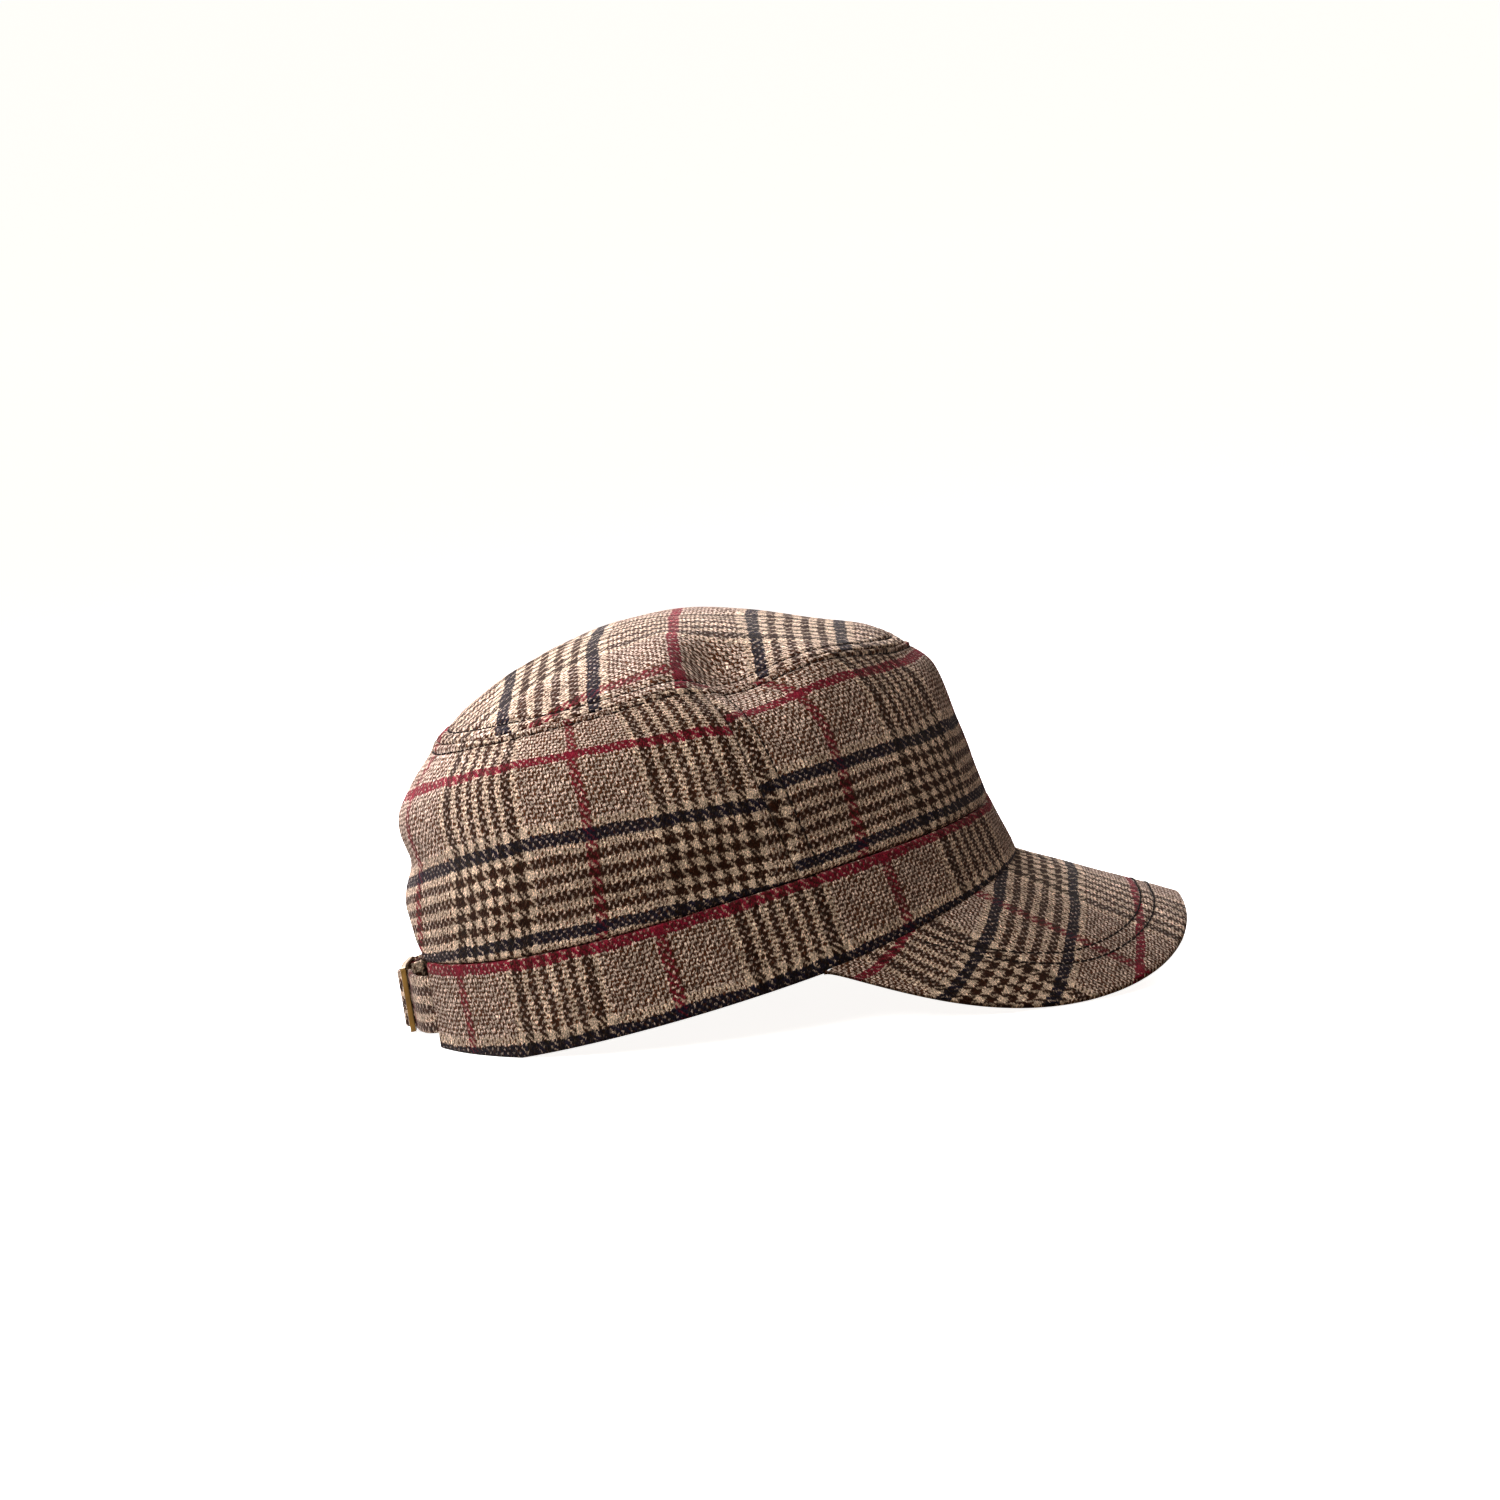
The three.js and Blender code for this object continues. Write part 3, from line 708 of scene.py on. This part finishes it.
across = np.sin(np.radians(np.linspace(-90, 90, PEAK_COLUMNS)))[:, None]
deep = peak_depth(across)
fine_rows = np.array((0, 0.1, 0.25, 0.5, 0.8, 1.2, 1.7, 2.4))[None, :]
near_edge = fine_rows * np.minimum(1, deep / 12)
rest = near_edge[:, -1:] + (deep - near_edge[:, -1:]) * np.linspace(0, 1, PEAK_LINES)[None, 1:]
from_edge = np.concatenate([near_edge, rest], 1)
across, v = np.broadcast_arrays(across, from_edge / np.maximum(deep, 1e-6))
base = peak_point(across, v)
normal = peak_normal(base)
outer = base + normal * peak_height(base, across, v, from_edge)[..., None]
inner = base - normal * (PEAK_THICK + turned_edge(from_edge, PEAK_ROLL))[..., None]
inner[..., 2] = np.maximum(inner[..., 2], table_z(inner[..., 0]))
forward, round_bend = np.moveaxis(peak_flat(base), -1, 0)
ahead = (forward - 140) / 40
bent = (round_bend / 60) ** 2
up = by_powers((27.13, -51.16, -11.92, 4.22), 1, ahead, bent, ahead * bent)
lie_at = np.stack([round_bend + 56 + 0.3 * (forward - 131), up], -1)
peak = cloth_wall("peak_cover", outer, inner, lie_at)
dress(peak, wool)
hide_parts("peak")

# Strap and loop at the back
# Two narrow strips of doubled wool from under the ends of the band. The left one is a loop that holds the
# slide, and the right one passes behind its first bar, over its middle bar and back inside the cap.
STRAP_LOW, STRAP_HIGH, STRAP_THICK = 5.4, 23.9, 1.5
SLIDE_RIGHT, SLIDE_LEFT, SLIDE_LOW, SLIDE_HIGH = -3.0, 16.0, 4.0, 25.3
SLIDE_BAR, SLIDE_MIDDLE, SLIDE_THICK, SLIDE_PROUD = 2.0, 5.0, 1.8, 3.0
LOOP_BAR = SLIDE_LEFT - SLIDE_BAR / 2
LOOP_TURN = SLIDE_THICK / 2 + SEAM_GAP + STRAP_THICK / 2
BEHIND = SLIDE_PROUD - LOOP_TURN
OVER = SLIDE_PROUD + LOOP_TURN
IN_BAND = -WALL - SEAM_GAP - STRAP_THICK / 2 - 0.2
LAYER = STRAP_THICK + SEAM_GAP
STRAP_ROUTE = (
    (-44, IN_BAND - 0.2), (-37, IN_BAND - 0.2), (-31, IN_BAND - 0.2), (-23, -0.8), (-13, BEHIND - 0.6),
    (-5, BEHIND - 0.3), (-1.6, BEHIND - 0.2), (1.4, SLIDE_PROUD), (3.8, OVER), (6.2, OVER),
    (8.4, SLIDE_PROUD), (10.6, BEHIND - LAYER), (16, BEHIND - 1.9 * LAYER),
    (24, IN_BAND - 1.2 - LAYER), (36, IN_BAND - 1.6 - 2 * LAYER),
)
LOOP_ROUTE = (
    (42, IN_BAND - 0.1), (35, IN_BAND), (30, IN_BAND - 0.1), (24, 0.6), (19, OVER - 0.6),
    (LOOP_BAR + 0.4, OVER + 0.1), (LOOP_BAR - 1.6, SLIDE_PROUD + 1.6), (LOOP_BAR - 2.4, SLIDE_PROUD),
    (LOOP_BAR - 1.6, SLIDE_PROUD - 1.6), (LOOP_BAR + 0.4, BEHIND - 0.1), (19, BEHIND - 0.4),
    (24, IN_BAND + 1.9), (30, IN_BAND - 1.1 * LAYER), (42, IN_BAND - 0.1 - 1.1 * LAYER),
)


def back_point(y, out, z):
    share = z / BAND_TOP[5]
    reach = RIM[4] + (BAND_TOP[4] - RIM[4]) * share
    width = RIM[2] + (BAND_TOP[2] - RIM[2]) * share
    x = reach * np.sqrt(1 - (y / width) ** 2)
    normal = np.stack([x / reach**2, y / width**2, 0 * x], -1)
    normal /= np.linalg.norm(normal, axis=-1, keepdims=True)
    return np.stack([x, y, z], -1) + normal * np.asarray(out)[..., None]


def route_at(route, share):
    stops = [np.broadcast_to(np.array([-y, out, 0.0]), share.shape + (3,)) for y, out in route]
    return smooth_curve(stops, share)


def strap_strip(name, route, from_red):
    share = np.linspace(0, 1, 150)
    middle = route_at(route, share)
    along = np.gradient(middle, axis=0)
    along /= np.linalg.norm(along, axis=-1, keepdims=True)
    length = np.concatenate([[0.0], np.cumsum(np.linalg.norm(np.diff(middle, axis=0), axis=-1))])
    tall = STRAP_HIGH - STRAP_LOW
    rows = grades(tall, (0, 0.06, 0.18, 0.36, 0.6, 1, 1.6, 2.1, 2.6), 1.2)
    roll = -turned_edge(np.minimum(rows, tall - rows), 0.6)[None, :]
    z = np.broadcast_to(STRAP_LOW + rows[None, :], (len(share), len(rows)))
    faces = []
    for side in (1, -1):
        half = side * (STRAP_THICK / 2 - roll)
        y = -(middle[:, :1] - half * along[:, 1:2])
        out = middle[:, 1:2] + half * along[:, :1]
        faces.append(back_point(y, out, z))
    lie_at = np.stack(np.broadcast_arrays(length[:, None] + from_red, rows[None, :] - 52.5), -1)
    return cloth_wall(name, faces[0], faces[1], lie_at)


strap = strap_strip("strap_cloth", STRAP_ROUTE, -36)
dress(strap, wool)
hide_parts("back_strap")
loop = strap_strip("loop_cloth", LOOP_ROUTE, -35)
dress(loop, wool)
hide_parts("strap_loop")

# Slide
# A small three-bar slide pressed from brass strip, its edges tumbled smooth. The loop of cloth holds its
# left bar, and the strap goes over its middle bar.
margin = (SLIDE_HIGH - SLIDE_LOW - (STRAP_HIGH - STRAP_LOW)) / 2 - SEAM_GAP
columns = (
    -SLIDE_LEFT, -SLIDE_LEFT + SLIDE_BAR, -SLIDE_MIDDLE - SLIDE_BAR / 2, -SLIDE_MIDDLE + SLIDE_BAR / 2,
    -SLIDE_RIGHT - SLIDE_BAR, -SLIDE_RIGHT,
)
levels = (SLIDE_LOW, SLIDE_LOW + margin, SLIDE_HIGH - margin, SLIDE_HIGH)
bpy.ops.object.select_all(action="DESELECT")
bpy.ops.mesh.primitive_grid_add(x_subdivisions=5, y_subdivisions=3, size=1)
slide = bpy.context.object
slide.name = slide.data.name = "slide_brass_plate"
for vertex in slide.data.vertices:
    k = round((vertex.co.x + 0.5) * 5)
    j = round((vertex.co.y + 0.5) * 3)
    vertex.co = (columns[k] / 1000, levels[j] / 1000, 0)
bpy.ops.object.mode_set(mode="EDIT")
bpy.ops.mesh.select_mode(type="FACE")
bpy.ops.mesh.select_all(action="DESELECT")
bpy.ops.object.mode_set(mode="OBJECT")
for face in slide.data.polygons:
    x, z = face.center.x * 1000, face.center.y * 1000
    open_part = columns[1] < x < columns[2] or columns[3] < x < columns[4]
    face.select = open_part and levels[1] < z < levels[2]
bpy.ops.object.mode_set(mode="EDIT")
bpy.ops.mesh.delete(type="FACE")
bpy.ops.object.mode_set(mode="OBJECT")
plate = slide.modifiers.new("strip", "SOLIDIFY")
plate.thickness = SLIDE_THICK / 1000
plate.offset = 0.0
bpy.ops.object.modifier_apply(modifier="strip")
bpy.ops.object.mode_set(mode="EDIT")
bpy.ops.mesh.select_mode(type="EDGE")
bpy.ops.mesh.select_all(action="DESELECT")
bpy.ops.object.mode_set(mode="OBJECT")
for edge in slide.data.edges:
    a, b = (slide.data.vertices[k].co for k in edge.vertices)
    through = abs(a.z - b.z) > 0.001
    at_end = min(abs(a.x * 1000 - columns[0]), abs(a.x * 1000 - columns[-1])) < 0.01
    at_side = min(abs(a.y * 1000 - levels[0]), abs(a.y * 1000 - levels[-1])) < 0.01
    edge.select = through and at_end and at_side
bpy.ops.object.mode_set(mode="EDIT")
bpy.ops.mesh.bevel(offset=0.0016, segments=6, affect="EDGES")
bpy.ops.object.mode_set(mode="OBJECT")
tumbled = slide.modifiers.new("tumbled", "BEVEL")
tumbled.width = 0.00045
tumbled.segments = 4
tumbled.limit_method = "ANGLE"
tumbled.angle_limit = math.radians(50)
bpy.ops.object.modifier_apply(modifier="tumbled")
flat = np.empty(len(slide.data.vertices) * 3)
slide.data.vertices.foreach_get("co", flat)
flat = flat.reshape(-1, 3) * 1000
bent = back_point(-flat[:, 0], SLIDE_PROUD + flat[:, 2], flat[:, 1])
slide.data.vertices.foreach_set("co", placed(bent).ravel())
slide.data.update()
bpy.ops.object.mode_set(mode="EDIT")
bpy.ops.mesh.select_all(action="SELECT")
bpy.ops.mesh.normals_make_consistent(inside=False)
bpy.ops.object.mode_set(mode="OBJECT")
bpy.ops.object.shade_smooth_by_angle(angle=math.radians(35))

# Brass strip, pressed and tumbled: a warm yellow metal with a soft gloss, a little duller in patches
# where it has begun to tarnish, with fine tumbling marks about 0.3 mm apart.
brass = bpy.data.materials.new("brass_pressed_tumbled")
brass.use_nodes = True
brass.node_tree.nodes.clear()
where = add_node(brass, "ShaderNodeTexCoord").outputs["Object"]
patches = add_node(brass, "ShaderNodeTexNoise", {"Vector": where, "Scale": 260.0, "Detail": 3.0})
tarnish = patches.outputs["Fac"]
marks = add_node(brass, "ShaderNodeTexNoise", {"Vector": where, "Scale": 3300.0, "Detail": 2.0})
tone = add_node(
    brass,
    "ShaderNodeMix",
    {"Factor": tarnish, 6: linear("#2E2010"), 7: linear("#6A4F26")},
    data_type="RGBA",
).outputs[2]
gloss = add_node(brass, "ShaderNodeMapRange", {"Value": tarnish, "To Min": 0.5, "To Max": 0.32}).outputs[0]
scuffed = add_node(
    brass,
    "ShaderNodeBump",
    {"Height": marks.outputs["Fac"], "Strength": 0.25, "Distance": 0.00005},
)
brass_surface = add_node(
    brass,
    "ShaderNodeBsdfPrincipled",
    {"Base Color": tone, "Metallic": 1.0, "Roughness": gloss, "Normal": scuffed.outputs["Normal"]},
)
add_node(brass, "ShaderNodeOutputMaterial", {"Surface": brass_surface.outputs["BSDF"]})
dress(slide, brass)
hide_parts("slide_buckle")

# Rows of stitches
# Lockstitch in dark brown polyester thread, about 2.8 mm to a stitch, along the seams and the peak's edge.
# Each stitch lies in the cloth with its ends drawn in.
STITCH, STITCH_STEP, THREAD = 2.55, 2.8, 0.34
STITCH_PROUD, STITCH_DRAWN_IN = 0.3, 0.42
# How thick a stitch is along its length, and the angles at which the rows under the top seam end
TAPER, THREAD_SIDES = (0.45, 0.92, 1.0, 0.92, 0.45), 6
FRONT_ROW_END, REAR_ROW_START, REAR_ROW_END = 73.4, 76.4, 178.5
ROW_POINTS = 721

thread = bpy.data.materials.new("polyester_thread_spun")
thread.use_nodes = True
thread.node_tree.nodes.clear()
where = add_node(thread, "ShaderNodeTexCoord").outputs["Object"]
spun = add_node(thread, "ShaderNodeTexNoise", {"Vector": where, "Scale": 2600.0, "Detail": 2.0})
strands = spun.outputs["Fac"]
thread_tone = add_node(
    thread,
    "ShaderNodeMix",
    {"Factor": strands, 6: linear("#0A0605"), 7: linear("#1E140F")},
    data_type="RGBA",
).outputs[2]
twist = add_node(thread, "ShaderNodeBump", {"Height": strands, "Strength": 0.4, "Distance": 0.00008})
thread_surface = add_node(
    thread,
    "ShaderNodeBsdfPrincipled",
    {
        "Base Color": thread_tone,
        "Roughness": 0.9,
        "Specular IOR Level": 0.1,
        "Normal": twist.outputs["Normal"],
    },
)
add_node(thread, "ShaderNodeOutputMaterial", {"Surface": thread_surface.outputs["BSDF"]})


def stitch_row(name, points, out):
    # points run along the row on the cloth, out is the way off the cloth there; both in mm
    step = np.linalg.norm(np.diff(points, axis=0), axis=-1)
    length = np.concatenate([[0.0], np.cumsum(step)])
    many = int(length[-1] / STITCH_STEP)
    starts = (np.arange(many) + 0.5) * length[-1] / many
    ends = np.linspace(-0.5, 0.5, len(TAPER))
    verts = []
    faces = []
    for start in starts:
        ring = []
        for k, t in enumerate(ends):
            s = start + t * STITCH
            p = np.array([np.interp(s, length, points[:, c]) for c in range(3)])
            n = np.array([np.interp(s, length, out[:, c]) for c in range(3)])
            ahead = np.array([np.interp(s + 0.3, length, points[:, c]) for c in range(3)])
            behind = np.array([np.interp(s - 0.3, length, points[:, c]) for c in range(3)])
            way = (ahead - behind) / max(1e-6, np.linalg.norm(ahead - behind))
            side = np.cross(n, way)
            side /= np.linalg.norm(side)
            thick = THREAD * TAPER[k]
            p = p + n * (STITCH_PROUD - STITCH_DRAWN_IN * (2 * t) ** 4)
            for a in range(THREAD_SIDES):
                turn = a * 2 * math.pi / THREAD_SIDES
                verts.append(p + side * thick * math.cos(turn) + n * thick * math.sin(turn))
            ring.append(len(verts) - THREAD_SIDES)
        for r0, r1 in zip(ring[:-1], ring[1:]):
            for a in range(THREAD_SIDES):
                b = (a + 1) % THREAD_SIDES
                faces.append((r0 + a, r0 + b, r1 + b, r1 + a))
        faces.append(tuple(range(ring[0] + THREAD_SIDES - 1, ring[0] - 1, -1)))
        faces.append(tuple(range(ring[-1], ring[-1] + THREAD_SIDES)))
    mesh = bpy.data.meshes.new(name)
    mesh.from_pydata(placed(np.array(verts)).tolist(), [], faces)
    mesh.shade_smooth()
    row = bpy.data.objects.new(name, mesh)
    bpy.context.scene.collection.objects.link(row)
    bpy.ops.object.select_all(action="DESELECT")
    row.select_set(True)
    bpy.context.view_layer.objects.active = row
    bpy.ops.object.mode_set(mode="EDIT")
    bpy.ops.mesh.select_all(action="SELECT")
    bpy.ops.mesh.normals_make_consistent(inside=False)
    bpy.ops.object.mode_set(mode="OBJECT")
    dress(row, thread)
    return row


round_top = np.linspace(-180, 180, ROW_POINTS)
share = TOP_STITCH / top_reach(round_top)
base = top_point(round_top, share)
lift = top_height(round_top, share) + uneven(base) * np.minimum(1, share * 8)
stitch_row("stitches_top_panel", raised(base, lift), -inward(base))

share = np.full(ROW_POINTS, 1 - SEAM_STITCH / CROWN_HEIGHT)
for name, angle, height_of in (
    ("stitches_front_top", np.linspace(-FRONT_ROW_END, FRONT_ROW_END, ROW_POINTS), front_height),
    ("stitches_rear_right_top", np.linspace(-REAR_ROW_END, -REAR_ROW_START, ROW_POINTS), rear_height),
    ("stitches_rear_left_top", np.linspace(REAR_ROW_START, REAR_ROW_END, ROW_POINTS), rear_height),
):
    base = crown_point(angle, share)
    lift = height_of(angle, share) + uneven(base)
    stitch_row(name, raised(base, lift), -inward(base))

share = np.linspace(0.02, 0.94, 200)
for name, side in (("stitches_side_right", -1), ("stitches_side_left", 1)):
    angle = side * (seam_angle(share) - FRONT_STITCH / MM_PER_DEGREE)
    base = crown_point(angle, share)
    lift = front_height(angle, share) + uneven(base)
    stitch_row(name, raised(base, lift), -inward(base))

across, v = np.meshgrid(np.linspace(-0.93, 0.93, 500), np.linspace(0, 1, 60), indexing="ij")
inside = inside_edge(peak_point(across, v)) - row_drift(across)
for name, row in (("stitches_peak_outer", PEAK_ROWS[0]), ("stitches_peak_inner", PEAK_ROWS[1])):
    on_peak = inside[:, -1] > row + 3
    share = np.array([np.interp(row, d, at) for d, at in zip(inside[on_peak], v)])
    along = across[on_peak, 0]
    base = peak_point(along, share)
    lift = peak_height(base, along, share, row)
    stitch_row(name, base + peak_normal(base) * lift[:, None], peak_normal(base))

# Studio
# A pale floor that runs out of sight, soft lights behind, on the left, on the near side and, weakly, before
# the brow, with the camera a little above the cap and turned so that the rim rises to the right.
FLOOR = "#F6F4F2"
CAP_MIDDLE = np.array([0.0, 0.0, 0.06366])
AWAY, ABOVE, ROLL = 1.6, math.radians(8.5), math.radians(6.075)
PX_PER_MM, MIDDLE_PX, FRAME_PX = 3.1, (775.0, 799.75), 1500

bpy.ops.object.select_all(action="DESELECT")
bpy.ops.mesh.primitive_grid_add(x_subdivisions=80, y_subdivisions=80, size=40, location=(0, 0, 0))
floor = bpy.context.object
floor.name = "studio_floor"
for vertex in floor.data.vertices:
    out = max(0.0, math.hypot(vertex.co.x, vertex.co.y) - 6.0)
    vertex.co.z = 0.05 * out**2
bpy.ops.object.shade_smooth()
paper = bpy.data.materials.new("paper_backdrop_matt")
paper.use_nodes = True
paper_surface = paper.node_tree.nodes["Principled BSDF"]
paper_surface.inputs["Base Color"].default_value = linear(FLOOR)
paper_surface.inputs["Roughness"].default_value = 0.95
paper_surface.inputs["Specular IOR Level"].default_value = 0.1
paper_surface.inputs["Emission Color"].default_value = linear(FLOOR)
paper_surface.inputs["Emission Strength"].default_value = 1.02
floor.data.materials.append(paper)
floor.visible_diffuse = False

world = bpy.data.worlds.new("studio_room")
world.use_nodes = True
world.node_tree.nodes["Background"].inputs["Color"].default_value = linear("#FFD9AC")
world.node_tree.nodes["Background"].inputs["Strength"].default_value = 0.1
bpy.context.scene.world = world
for name, place_m, size, watts, colour in (
    ("back_soft", (-0.27, 0.536, 0.542), 0.35, 16.0, "#F6F7FF"),
    ("left_soft", (-0.625, 0.107, 0.51), 0.35, 6.8, "#F8F8FF"),
    ("near_soft", (-0.33, -0.53, 0.51), 0.35, 4.7, "#FFFFFF"),
    ("brow_soft", (0.56, 0.2, 0.52), 0.35, 1.3, "#F8F8FF"),
):
    bpy.ops.object.select_all(action="DESELECT")
    bpy.ops.object.light_add(type="AREA", location=place_m)
    lamp = bpy.context.object
    lamp.name = name
    lamp.data.size = size
    lamp.data.energy = watts
    lamp.data.color = linear(colour)[:3]
    aim = Vector((-0.02, 0, 0.07)) - Vector(place_m)
    lamp.rotation_euler = aim.to_track_quat("-Z", "Y").to_euler()

right = np.array([1.0, 0.0, 0.0])
up = np.array([0.0, math.sin(ABOVE), math.cos(ABOVE)])
back = np.array([0.0, -math.cos(ABOVE), math.sin(ABOVE)])
cam_right = right * math.cos(ROLL) - up * math.sin(ROLL)
cam_up = right * math.sin(ROLL) + up * math.cos(ROLL)
spot = CAP_MIDDLE + back * AWAY
bpy.ops.object.camera_add()
camera = bpy.context.object
camera.name = "camera"
camera.matrix_world = Matrix(
    [[cam_right[k], cam_up[k], back[k], spot[k]] for k in range(3)] + [[0, 0, 0, 1]]
)
camera.data.sensor_width = 36.0
camera.data.lens = 36.0 * AWAY * 1000 / (FRAME_PX / PX_PER_MM)
camera.data.shift_x = -(MIDDLE_PX[0] - FRAME_PX / 2) / FRAME_PX
camera.data.shift_y = (MIDDLE_PX[1] - FRAME_PX / 2) / FRAME_PX
bpy.context.scene.camera = camera
bpy.context.scene.view_settings.view_transform = "Standard"
